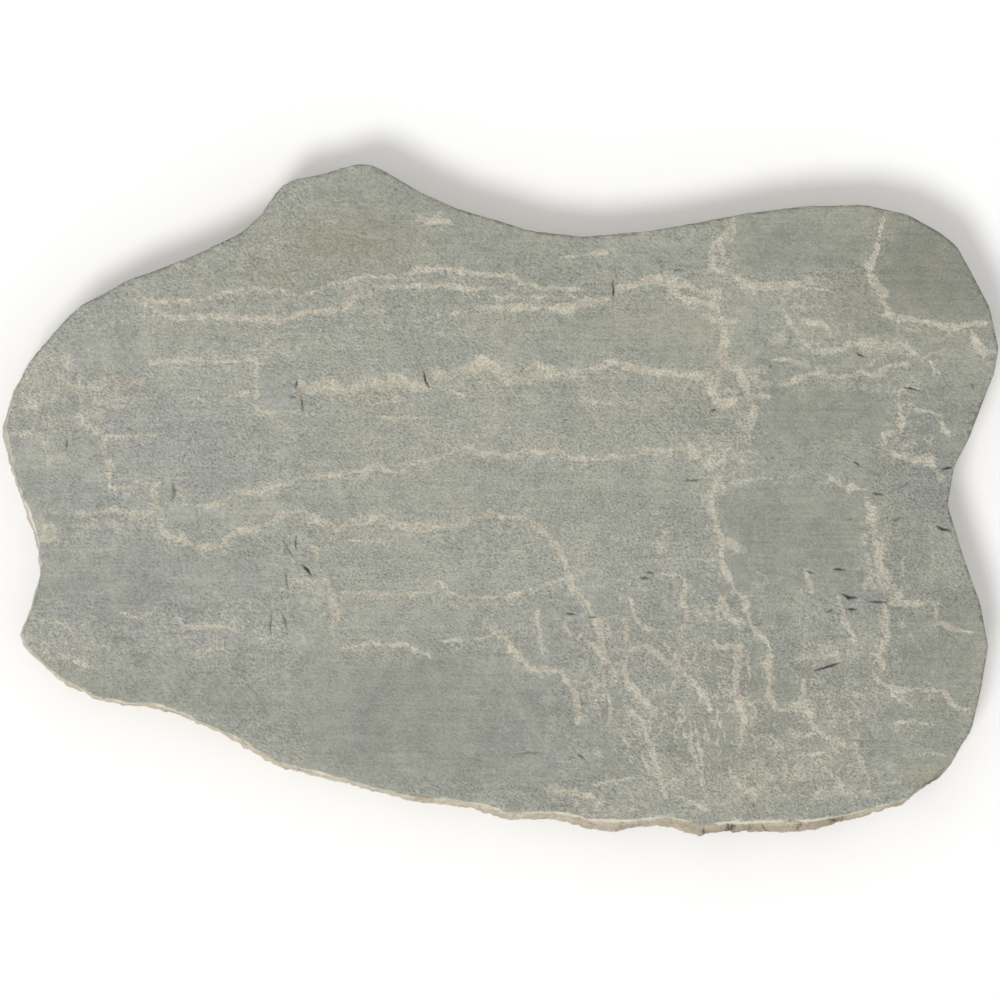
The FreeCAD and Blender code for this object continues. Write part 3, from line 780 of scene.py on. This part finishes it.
def wanted_spacing(points):
    """How often the lattice step doubles at each point: less often close to thin ridges and cracks."""
    doubles = np.full(len(points), 2)

    def refine(pixels, reach, fine_reach):
        which, distance = line_fields(points, on_top(pixels), reach)[:2]
        doubles[which] = np.minimum(doubles[which], 1)
        doubles[which[np.abs(distance) < fine_reach]] = 0

    for _, width, pixels in RIDGES:
        half = 0.5 * width * pixel_size
        refine(pixels, half + MEDIUM_REACH, half + RIDGE_FINE_REACH if width <= THIN_RIDGE else 0)
    for _, width, pixels in CRACKS:
        refine(pixels, MEDIUM_REACH, 0.5 * width * pixel_size + CRACK_FINE_REACH)
    return doubles


def face_points(rim):
    """Points for the cleft face: close together along ridges and cracks, wider elsewhere."""
    points, doubled = lattice(FINE)
    kept = inside_loop(points, rim)
    points, doubled = points[kept], doubled[kept]
    doubles = wanted_spacing(ragged_lines(points))
    kept = doubled >= doubles
    points, doubles = points[kept], doubles[kept]
    jitter = np.random.default_rng(SEED).uniform(-JITTER, JITTER, points.shape)
    points = points + jitter * (FINE * 2.0 ** doubles)[:, None]
    gap = loop_distance(points, rim)[0]
    return points[(gap > RIM_CLEARANCE) & inside_loop(points, rim)]


def face_height(points):
    """Height of the cleft face at each point, with the fields that colour it."""
    ragged = ragged_lines(points)
    step, cream, crumbs = ridge_fields(ragged)
    depth = crack_fields(warped(points, RAGGED_LENGTH, 0.6 * MM, SEED))
    smooth = plate_cover(warped(points, 22 * MM, 7 * MM, SEED + 30))
    broken = np.maximum(blobs(warped(points, 12 * MM, 6 * MM, SEED + 35), BROKEN), crumbs)
    grain = 1.2 - 0.8 * smooth
    height = sample(soft_heights, ragged) - BEDDING_DROP + step
    height += SWELL_HEIGHT * fractal(points, 85 * MM, 2, SEED + 40)
    height += WAVE_HEIGHT * grain * fractal(points, 14 * MM, 3, SEED + 50, 0.55)
    height += GRAIN_HEIGHT * grain * fractal(points, 4.4 * MM, 1, SEED + 60)
    height += CRUMB_HEIGHT * np.maximum(cream, broken) * fractal(points, 3.6 * MM, 2, SEED + 70, 0.7)
    height -= CRACK_DEPTH * depth
    # The crack depth also sets the painted shade in the cracks.
    return height, {"cream": cream, "broken": broken, "crack_shade": depth, "smooth": smooth}


def triangles_inside(loop, inner):
    """Triangles that fill a loop through inner points, as indices into the loop and then the inner points."""
    points = [Vector(point) for point in np.vstack([loop, inner])]
    count = len(loop)
    rim = [(number, (number + 1) % count) for number in range(count)]
    faces, sources = delaunay_2d_cdt(points, rim, [], INSIDE_ONLY, CORNER_TOLERANCE)[2:4]
    return [[sources[corner][0] for corner in face] for face in faces]


# The edge of the stone: chipped along the front, where the camera sees it, and cleaner round the back.

ARRIS_DEPTH = 0.4 * MM
NOTCH_LEAN = 2.5 * MM
NOTCH_CUT = 0.7
NOTCH_SHADE = 0.8
BELLY_SHARE = 0.38
CHIP_SLANT = (1.7, -1.3)
RIM_FADE = 1.5 * MM
RIM_FALL = 0.8
TOP_CLEARANCE = 0.05 * MM
BED_RELIEF = 0.5 * MM

# In millimetres: the depth at which a notch gets its full painted shade, and how far the rim is bitten back
# and dropped all round, along the front and at its chips.
DARK_NOTCH = 1.5
BITE = 0.12
FRONT_BITE = 0.25
CHIP_BITE = 0.6
DROP = 0.25
FRONT_DROP = 0.6
CHIP_DROP = 0.9

FRONT = np.array([-math.tan(LEAN_TO_LEFT), -math.tan(LEAN_TO_FRONT)])
facing = normals @ FRONT / np.linalg.norm(FRONT)
front = smooth_step(0.2, 0.85, facing)
chips = np.clip(fractal(ring, 16 * MM, 3, SEED + 80, 0.6), -0.5, 1)
local_top = sample(plate_heights, ring)


def notch_cover(share):
    """Depth of the gaps between chips, and the shade painted into them, this share of the way down the edge.
    """
    count = len(ring)
    cut = np.zeros(count)
    dark = np.zeros(count)
    for number, (x, y, width, depth) in enumerate(NOTCHES):
        nearest = loop_distance(on_top([(x, y)]), ring)[1]
        steps = (np.arange(count) - nearest[0] + count // 2) % count - count // 2
        lean = NOTCH_LEAN * (number * 5 % 7 - 3) * share
        cover = np.exp(-((steps * RING_STEP - lean) / (0.45 * width * pixel_size)) ** 2)
        cut = np.maximum(cut, NOTCH_CUT * depth * MM * cover)
        dark = np.maximum(dark, NOTCH_SHADE * cover * min(1, depth / DARK_NOTCH))
    below = 1 - smooth_step(BELLY_SHARE, BELLY_SHARE + 0.2, share)
    return cut * min(1, 4 * share) * below, dark * below


def edge_rings(rim_height):
    """Rings of points from just below the rim down to the bed face, and the shade painted into the edge's
    gaps.
    """
    rings = []
    gap_shades = []
    for share in SIDE_LEVELS:
        heights = rim_height * (1 - share)
        offset = edge_offset(np.clip(heights, ARRIS_DEPTH, local_top - ARRIS_DEPTH))
        slant = ring + np.outer(heights, CHIP_SLANT)
        rough = 0.9 * fractal(slant, 13 * MM, 3, SEED + 90, 0.6)
        rough += 0.8 * fractal(slant, 3.5 * MM, 2, SEED + 95)
        cut, dark = notch_cover(share)
        pitched = 0.5 + 0.75 * front + 1.3 * smooth_step(0.05, 0.3, abs(share - BELLY_SHARE))
        inset = pitched * (0.5 + np.clip(rough, -0.5, 1.2)) * MM + cut
        rings.append(np.column_stack([ring + normals * (offset - inset)[:, None], heights]))
        gap_shades.append(dark)
    return rings, np.concatenate(gap_shades)


def rim_line():
    """The rim of the cleft face, and how far its chipped arris drops."""
    across = project(np.column_stack([ring, np.full(len(ring), top_plane)]), camera_place)[:, 0]
    strip = np.interp(across, *zip(*STRIP))
    bite = (BITE + front * (FRONT_BITE + CHIP_BITE * chips + strip)) * MM
    rim = ring + normals * (edge_offset(local_top - ARRIS_DEPTH) - bite)[:, None]
    return rim, (DROP + front * (FRONT_DROP + CHIP_DROP * chips)) * MM


def bed_face(rim):
    """Slightly uneven points inside the rim of the bed face, and the triangles that fill it."""
    points = lattice(BED_STEP)[0]
    points = points[inside_loop(points, rim)]
    points = points[loop_distance(points, rim)[0] > 0.5 * BED_STEP]
    height = BED_RELIEF * np.clip(0.4 + fractal(points, 30 * MM, 2, SEED + 99), 0, 1)
    return np.column_stack([points, height]), triangles_inside(rim, points)


def build_stone():
    """The stone as one closed mesh: cleft face, pitched edge and bed face."""
    rim, drop = rim_line()
    rim_height, rim_fields = face_height(rim)
    rim_height -= drop
    inner = face_points(rim)
    inner_height, fields = face_height(inner)
    gap, nearest = loop_distance(inner, rim)
    inner_height -= RIM_FALL * drop[nearest] * np.exp(-gap / RIM_FADE)
    top_limit = float(cad_high.z) - TOP_CLEARANCE
    inner_height = np.minimum(inner_height, top_limit)
    rim_height = np.minimum(rim_height, top_limit)
    rings, gap_shade = edge_rings(rim_height)
    bed, bed_triangles = bed_face(rings[-1][:, :2])

    count = len(ring)
    side_start = count + len(inner)
    starts = [0] + [side_start + count * number for number in range(len(rings))]
    faces = triangles_inside(rim, inner)
    for upper, lower in zip(starts[:-1], starts[1:]):
        for number in range(count):
            after = (number + 1) % count
            faces.append([upper + number, lower + number, lower + after, upper + after])
    for triangle in bed_triangles:
        faces.append([starts[-1] + corner for corner in triangle[::-1]])

    face = np.vstack([np.column_stack([rim, rim_height]), np.column_stack([inner, inner_height])])
    points = np.vstack([face, *rings, bed])
    rest = len(points) - side_start
    for name in fields:
        tail = np.zeros(rest)
        # On the edge, the crack shade field carries the shade painted into the gaps between chips.
        if name == "crack_shade":
            tail[:len(gap_shade)] = gap_shade
        fields[name] = np.concatenate([rim_fields[name], fields[name], tail])
    fields["side"] = np.repeat([0.0, 1.0], [side_start, rest])
    # A painted highlight along the rim, strongest where the edge faces the front left, towards the key light.
    arris = smooth_step(0.1, 0.6, facing)
    arris *= smooth_step(-0.45, 0.15, fractal(ring, 20 * MM, 2, SEED + 130))
    fields["arris"] = np.concatenate([arris, np.zeros(len(points) - count)])
    fields.update(washes(points[:, :2]))
    return stone_object(points, faces, fields)


def stone_object(points, faces, fields):
    """The mesh with its colour fields, as an object in the scene."""
    mesh = bpy.data.meshes.new("stone")
    mesh.from_pydata(points.tolist(), [], faces)
    for name, values in fields.items():
        attribute = mesh.attributes.new(name, "FLOAT", "POINT")
        attribute.data.foreach_set("value", values.astype(np.float32))
    mesh.polygons.foreach_set("use_smooth", [True] * len(mesh.polygons))
    mesh.validate()
    mesh.update()
    stone = bpy.data.objects.new("stone", mesh)
    bpy.context.scene.collection.objects.link(stone)
    return stone


# The stone's material.

def rgb(red, green, blue):
    """A colour as read off a picture, from 0 to 255 a channel, as the shader's linear values."""
    def linear(value):
        share = value / 255
        return share / 12.92 if share <= 0.04045 else ((share + 0.055) / 1.055) ** 2.4
    return (linear(red), linear(green), linear(blue), 1.0)


STROKE_TURN = math.radians(-32)
VEIN_TURN = math.radians(18)
BUMP_HEIGHT = 2.0 * MM
STONE_ROUGHNESS = 0.9
STONE_SHINE = 0.25

# Colours of the bedding, of split faces, of the pitched edge, of a painted highlight on its arris and of
# painted shadow in cracks.
DARK_BED = rgb(139, 142, 132)
PALE_BED = rgb(217, 216, 202)
DULL_SPLIT = rgb(203, 197, 180)
PALE_SPLIT = rgb(217, 211, 193)
PINK_SPLIT = rgb(218, 203, 186)
FLECK = rgb(226, 224, 214)
DARK_BUFF = rgb(180, 162, 128)
PALE_BUFF = rgb(246, 236, 212)
GREY_BUFF = rgb(190, 186, 170)
BLEACHED_BUFF = rgb(234, 230, 220)
EARTH = rgb(118, 100, 78)
PAINTED_ARRIS_HIGHLIGHT = rgb(240, 233, 216)
CRACK_SHADOW = rgb(52, 60, 62)

# Tints that multiply the bedding's colour.
SMOOTH_TINT = (0.80, 0.81, 0.80, 1)
COOL_TINT = (0.97, 0.985, 1.02, 1)
RUSTY_TINT = (1.02, 1.0, 0.96, 1)
BLUISH_TINT = (0.96, 0.972, 1.02, 1)
OLIVE_TINT = (0.71, 0.72, 0.71, 1)
WARM_TINT = (1.0, 0.95, 0.88, 1)


class Nodes:
    """Short ways to add shader nodes to one material."""

    def __init__(self, material):
        material.use_nodes = True
        self.tree = material.node_tree
        self.tree.nodes.clear()
        self.place = self.add("ShaderNodeTexCoord").outputs["Object"]

    def add(self, kind, inputs=None, **settings):
        """A node with its settings, its sockets fed with constants or with other nodes' outputs."""
        made = self.tree.nodes.new(kind)
        for name, value in settings.items():
            setattr(made, name, value)
        for name, value in (inputs or {}).items():
            if isinstance(value, bpy.types.NodeSocket):
                self.tree.links.new(value, made.inputs[name])
            else:
                made.inputs[name].default_value = value
        return made

    def field(self, name):
        return self.add("ShaderNodeAttribute", attribute_name=name).outputs["Fac"]

    def noise(self, scale, detail=3.0, roughness=0.55, place=None):
        inputs = {"Vector": place or self.place, "Scale": scale, "Detail": detail, "Roughness": roughness}
        return self.add("ShaderNodeTexNoise", inputs).outputs["Fac"]

    def stretched(self, length, width, depth, turn=0.0):
        """Places measured in units of these lengths, along a direction turned from the stone's long axis."""
        inputs = {"Vector": self.place, "Rotation": (0.0, 0.0, turn), "Scale": (length, width, depth)}
        return self.add("ShaderNodeMapping", inputs, vector_type="TEXTURE").outputs["Vector"]

    def maths(self, operation, *values):
        return self.add("ShaderNodeMath", dict(enumerate(values)), operation=operation).outputs[0]

    def times(self, first, second):
        return self.maths("MULTIPLY", first, second)

    def swing(self, value, gain):
        """A noise value as a swing about zero."""
        return self.maths("MULTIPLY_ADD", value, gain, -0.5 * gain)

    def total(self, first, *others):
        for other in others:
            first = self.maths("ADD", first, other)
        return first

    def remap(self, value, low, high, to_low=0.0, to_high=1.0):
        inputs = {"Value": value, "From Min": low, "From Max": high, "To Min": to_low, "To Max": to_high}
        return self.add("ShaderNodeMapRange", inputs, interpolation_type="SMOOTHSTEP").outputs["Result"]

    def mix(self, share, first, second, blend="MIX"):
        inputs = {"Factor": share, "A": first, "B": second}
        return self.add("ShaderNodeMix", inputs, data_type="RGBA", blend_type=blend).outputs["Result"]

    def surface(self, **inputs):
        """The finished surface, with underscores for the spaces in its sockets' names."""
        named = {name.replace("_", " "): value for name, value in inputs.items()}
        shader = self.add("ShaderNodeBsdfPrincipled", named)
        self.add("ShaderNodeOutputMaterial", {"Surface": shader.outputs["BSDF"]})


def stone_material():
    """Grey-green bedding with cream split faces, and a buff pitched edge."""
    material = bpy.data.materials.new("riven_sandstone")
    n = Nodes(material)
    cloud = n.noise(16.0, 3.0)
    drift = n.noise(48.0, 4.0, 0.6)
    mottle = n.noise(170.0, 4.0, 0.6)
    patch = n.noise(300.0, 3.0, 0.6)
    granule = n.noise(1100.0, 2.0, 0.6)
    stroke = n.noise(1.0, 2.0, 0.7, n.stretched(1.5 * MM, 0.75 * MM, 0.75 * MM, STROKE_TURN))
    streak = n.noise(1.0, 3.0, 0.6, n.stretched(40 * MM, 1.6 * MM, 1.6 * MM))
    smooth = n.field("smooth")
    cream = n.field("cream")
    warm = n.field("warm")
    bluish = n.field("bluish")
    broken = n.field("broken")

    # Bedding, grainy but for the smooth plates.
    grainy = n.remap(n.total(smooth, n.swing(mottle, 0.6)), 0.0, 1.0, 1.0, 0.55)
    fine = n.times(n.total(n.swing(stroke, 1.5), n.swing(granule, 1.0)), grainy)
    shade = n.total(fine, n.swing(mottle, 0.4), n.swing(drift, 0.5), n.swing(streak, 0.4), 0.5)
    base = n.mix(n.remap(shade, -0.2, 1.2), DARK_BED, PALE_BED)
    base = n.mix(smooth, base, SMOOTH_TINT, "MULTIPLY")
    base = n.mix(n.remap(cloud, 0.4, 0.62, 0.0, 0.6), base, COOL_TINT, "MULTIPLY")
    base = n.mix(n.remap(drift, 0.45, 0.65, 0.0, 0.7), base, RUSTY_TINT, "MULTIPLY")
    base = n.mix(bluish, base, BLUISH_TINT, "MULTIPLY")
    base = n.mix(n.field("olive"), base, OLIVE_TINT, "MULTIPLY")
    base = n.mix(warm, base, WARM_TINT, "MULTIPLY")

    # Split faces: bands along the ridges, speckled patches, thin veins and pale flecks.
    ragged = n.total(n.swing(patch, 1.5), n.swing(granule, 0.8), n.swing(stroke, 1.1))
    band = n.remap(n.total(n.times(cream, 1.7), n.times(ragged, 0.8)), 0.2, 0.85)
    band = n.times(band, n.remap(cream, 0.03, 0.15))
    clumps = n.total(n.swing(patch, 1.6), n.swing(stroke, 0.9), n.swing(granule, 0.3))
    speckle = n.remap(n.total(n.times(broken, 0.85), clumps), 0.1, 0.75, 0.0, 0.78)
    speckle = n.times(speckle, n.remap(broken, 0.03, 0.2))
    meander = n.noise(1.0, 4.0, 0.6, n.stretched(9 * MM, 17 * MM, 17 * MM, VEIN_TURN))
    vein = n.remap(n.maths("ABSOLUTE", n.swing(meander, 1.0)), 0.006, 0.028, 1.0, 0.0)
    vein = n.times(vein, n.remap(n.total(mottle, n.swing(granule, 0.4)), 0.36, 0.56, 0.2, 1.0))
    vein = n.times(vein, n.field("veined"))
    cover = n.maths("MAXIMUM", n.maths("MAXIMUM", band, speckle), vein)
    split = n.mix(n.remap(mottle, 0.35, 0.65), DULL_SPLIT, PALE_SPLIT)
    split = n.mix(n.times(n.field("pink"), 0.5), split, PINK_SPLIT)
    split = n.mix(1.0, split, n.remap(shade, 0.1, 0.9, 0.72, 1.22), "MULTIPLY")
    base = n.mix(n.times(cover, 0.85), base, split)
    base = n.mix(n.remap(granule, 0.73, 0.8, 0.0, 0.7), base, FLECK)

    # Pitched edge, a painted highlight along its front arris, and painted shade in cracks and gaps.
    lamina = n.noise(1.0, 4.0, 0.6, n.stretched(70 * MM, 70 * MM, 1.5 * MM))
    chip = n.noise(1.0, 4.0, 0.65, n.stretched(12 * MM, 12 * MM, 7 * MM))
    layers = n.total(n.swing(lamina, 0.45), n.swing(chip, 1.2), n.swing(granule, 0.6), 0.55)
    buff = n.mix(n.remap(layers, 0.1, 0.95), DARK_BUFF, PALE_BUFF)
    buff = n.mix(n.remap(cloud, 0.45, 0.65, 0.0, 0.25), buff, GREY_BUFF)
    buff = n.mix(n.times(bluish, 0.8), buff, BLEACHED_BUFF)
    buff = n.mix(n.times(warm, 0.8), buff, EARTH)
    base = n.mix(n.remap(n.field("side"), 0.1, 0.5), base, buff)
    # Painted highlight, in cream, along the front arris.
    base = n.mix(n.remap(n.field("arris"), 0.4, 0.9, 0.0, 0.9), base, PAINTED_ARRIS_HIGHLIGHT)
    # Painted shadow in cracks and in the gaps between chips.
    base = n.mix(n.remap(n.field("crack_shade"), 0.05, 0.9, 0.0, 0.9), base, CRACK_SHADOW)

    relief = n.total(n.swing(stroke, 0.75), n.swing(granule, 0.5), n.swing(patch, 0.4))
    strength = n.maths("MAXIMUM", grainy, cover)
    bump = n.add("ShaderNodeBump", {"Strength": strength, "Distance": BUMP_HEIGHT, "Height": relief})
    n.surface(Base_Color=base, Roughness=STONE_ROUGHNESS, Specular_IOR_Level=STONE_SHINE,
              Normal=bump.outputs["Normal"])
    return material


# The floor, the light and the camera.

FLOOR_HALF = 4.0
FLOOR_WHITE = (1, 1, 1, 1)
FLOOR_BOUNCE = (0.8, 0.8, 0.8, 1)
FLOOR_ROUGHNESS = 0.9
ROOM_LIGHT = 0.66
KEY_LIGHT = 0.37
KEY_ANGLE = math.radians(20)
TOWARDS_KEY = Vector((-0.5, -0.87, 1.4)).normalized()
VIEW_REACH = 50


def floor_material():
    """White to the camera, and a little darker as a source of bounced light."""
    material = bpy.data.materials.new("pale_floor")
    n = Nodes(material)
    rays = n.add("ShaderNodeLightPath").outputs
    seen = n.total(rays["Is Camera Ray"], rays["Is Glossy Ray"], rays["Is Transmission Ray"])
    colour = n.mix(n.maths("MINIMUM", seen, 1.0), FLOOR_BOUNCE, FLOOR_WHITE)
    n.surface(Base_Color=colour, Roughness=FLOOR_ROUGHNESS, Specular_IOR_Level=0.0)
    return material


def build_floor():
    mesh = bpy.data.meshes.new("floor")
    corners = [(x * FLOOR_HALF, y * FLOOR_HALF, 0) for x, y in ((-1, -1), (1, -1), (1, 1), (-1, 1))]
    mesh.from_pydata(corners, [], [(0, 1, 2, 3)])
    mesh.materials.append(floor_material())
    floor = bpy.data.objects.new("floor", mesh)
    bpy.context.scene.collection.objects.link(floor)


def build_light():
    """A soft room and a soft key light from the front left, about 1 together on a level face."""
    world = bpy.data.worlds.new("soft_room")
    bpy.context.scene.world = world
    world.use_nodes = True
    background = world.node_tree.nodes["Background"]
    background.inputs["Color"].default_value = (1, 1, 1, 1)
    background.inputs["Strength"].default_value = ROOM_LIGHT
    sun = bpy.data.lights.new("key", "SUN")
    sun.energy = KEY_LIGHT * math.pi / TOWARDS_KEY.z
    sun.angle = KEY_ANGLE
    lamp = bpy.data.objects.new("key", sun)
    lamp.rotation_euler = TOWARDS_KEY.to_track_quat("Z", "Y").to_euler()
    bpy.context.scene.collection.objects.link(lamp)


def build_camera():
    data = bpy.data.cameras.new("camera")
    data.lens = LENS
    data.sensor_width = SENSOR
    data.clip_end = VIEW_REACH
    camera = bpy.data.objects.new("camera", data)
    turn = Matrix(camera_axes()).transposed()
    camera.matrix_world = Matrix.Translation(camera_place) @ turn.to_4x4()
    bpy.context.scene.collection.objects.link(camera)
    bpy.context.scene.camera = camera


stone = build_stone()
stone.data.materials.append(stone_material())
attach(stone, "root")
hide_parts(NODE)
build_floor()
build_light()
build_camera()
bpy.context.scene.view_settings.view_transform = "Standard"
